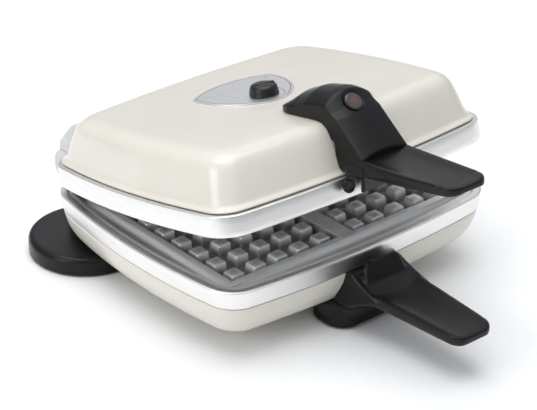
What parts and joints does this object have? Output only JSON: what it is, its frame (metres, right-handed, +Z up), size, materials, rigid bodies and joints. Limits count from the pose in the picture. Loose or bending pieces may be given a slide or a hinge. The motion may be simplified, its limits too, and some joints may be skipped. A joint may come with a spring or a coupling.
{
  "type": "waffle maker",
  "caption": "Electric waffle maker with a hinged lid, cast plates, steel bands, painted shells, a thermostat knob and black handles.",
  "frame": {"origin": "on the table, under the middle of the box round the whole object at rest", "axes": "+X to the user's right, +Y from the handles to the hinge, +Z up; the lid stands about 10 degrees open at rest"},
  "size_m": [0.2872, 0.367, 0.1714],
  "materials": {
    "cream_paint": "satin",
    "stainless": "brushed",
    "cast_plate": "cast, non-stick coated",
    "element_steel": "heat-dulled",
    "reflector": "pressed sheet",
    "zinc_steel": "zinc plated",
    "pin_steel": "turned",
    "ceramic": "glazed",
    "gland_rubber": "matte",
    "foot_rubber": "matte",
    "black_plastic": "satin",
    "grey_plastic": "satin",
    "knob_plastic": "satin",
    "smoked_lens": "tinted",
    "lamp_glass": "clear",
    "badge_silver": "satin"
  },
  "bodies": {
    "base": {"base_bowl": "cream_paint", "lower_band": "stainless", "lower_waffle_plate": "cast_plate", "lower_heating_element": "element_steel", "lower_reflector": "reflector", "lower_element_clips": "zinc_steel", "lower_reflector_spacers": "zinc_steel", "lower_terminal_block": "ceramic", "cord_gland": "gland_rubber", "lower_handle": "black_plastic", "lower_handle_screws": "zinc_steel", "front_foot": "black_plastic", "rear_foot": "black_plastic", "foot_screws": "zinc_steel", "foot_pads": "foot_rubber", "hinge_block_lower_right": "grey_plastic", "hinge_block_lower_left": "grey_plastic", "hinge_pins": "pin_steel", "lower_hinge_screws": "zinc_steel"},
    "lid": {"lid_shell": "cream_paint", "upper_band": "stainless", "upper_waffle_plate": "cast_plate", "upper_heating_element": "element_steel", "upper_reflector": "reflector", "upper_element_clips": "zinc_steel", "upper_reflector_spacers": "zinc_steel", "upper_terminal_block": "ceramic", "hinge_block_upper_right": "grey_plastic", "hinge_block_upper_left": "grey_plastic", "upper_hinge_screws": "zinc_steel", "upper_handle": "black_plastic", "upper_handle_screws": "zinc_steel", "pilot_lens": "smoked_lens", "pilot_lamp": "lamp_glass", "dial_plate": "badge_silver", "thermostat_body": "ceramic", "thermostat_sensor": "zinc_steel"},
    "knob": {"thermostat_knob": "knob_plastic", "thermostat_shaft": "pin_steel"},
    "release_button": {"plate_release_button": "black_plastic"}
  },
  "joints": [
    {"name": "lid_hinge", "type": "hinge", "parent": "base", "child": "lid", "pos_m": [0, 0.163, 0.061], "axis": [-1, 0, 0], "range_deg": [-10.2, 84.8]},
    {"name": "thermostat_turn", "type": "hinge", "parent": "lid", "child": "knob", "pos_m": [0, 0.0441, 0.1342], "axis": [0, 0.1771, 0.9842], "range_deg": [-135, 135]},
    {"name": "release_press", "type": "slide", "parent": "lid", "child": "release_button", "axis": [0, 0.9842, -0.1771], "range_m": [0, 0.003], "stiffness_N_per_m": 400, "springref_m": -0.002}
  ]
}
